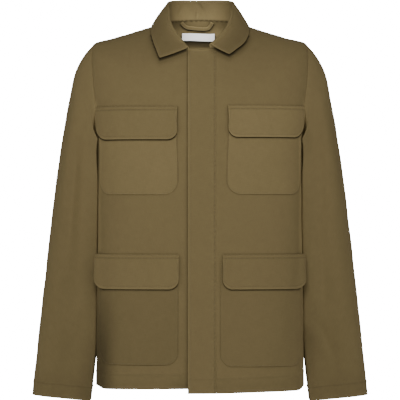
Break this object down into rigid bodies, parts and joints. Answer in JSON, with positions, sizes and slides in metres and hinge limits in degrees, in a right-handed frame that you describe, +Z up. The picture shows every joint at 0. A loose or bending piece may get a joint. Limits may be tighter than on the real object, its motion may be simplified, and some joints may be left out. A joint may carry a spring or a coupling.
{
  "type": "overshirt",
  "caption": "Straight hip-length overshirt with a pointed turned-down collar, a covered front fastening, flapped patch pockets and long plain sleeves, in its worn form.",
  "frame": {"origin": "middle of the neck opening at the height where the shoulder seams meet the collar, on the wearer's shoulder line", "axes": "+Z up along the garment's length, front faces -Y, the wearer's left is +X"},
  "size_m": [0.648, 0.2391, 0.773],
  "materials": {
    "front_left": "olive cotton twill, plain and smooth",
    "front_right": "olive cotton twill, plain and smooth",
    "back": "olive cotton twill, plain and smooth",
    "sleeve_left": "olive cotton twill, plain and smooth",
    "sleeve_right": "olive cotton twill, plain and smooth",
    "collar": "olive cotton twill, plain and smooth",
    "front_placket": "olive cotton twill, plain and smooth",
    "chest_pocket_left": "olive cotton twill, plain and smooth",
    "chest_pocket_right": "olive cotton twill, plain and smooth",
    "chest_flap_left": "olive cotton twill, plain and smooth",
    "chest_flap_right": "olive cotton twill, plain and smooth",
    "lower_pocket_left": "olive cotton twill, plain and smooth",
    "lower_pocket_right": "olive cotton twill, plain and smooth",
    "lower_flap_left": "olive cotton twill, plain and smooth",
    "lower_flap_right": "olive cotton twill, plain and smooth",
    "hanger_loop": "olive cotton twill ribbon",
    "neck_label": "bare white woven label"
  },
  "bodies": {
    "root": {"front_left": "front_left", "front_right": "front_right", "back": "back", "sleeve_left": "sleeve_left", "sleeve_right": "sleeve_right", "collar": "collar", "front_placket": "front_placket", "chest_pocket_left": "chest_pocket_left", "chest_pocket_right": "chest_pocket_right", "chest_flap_left": "chest_flap_left", "chest_flap_right": "chest_flap_right", "lower_pocket_left": "lower_pocket_left", "lower_pocket_right": "lower_pocket_right", "lower_flap_left": "lower_flap_left", "lower_flap_right": "lower_flap_right", "hanger_loop": "hanger_loop", "neck_label": "neck_label"}
  },
  "joints": []
}
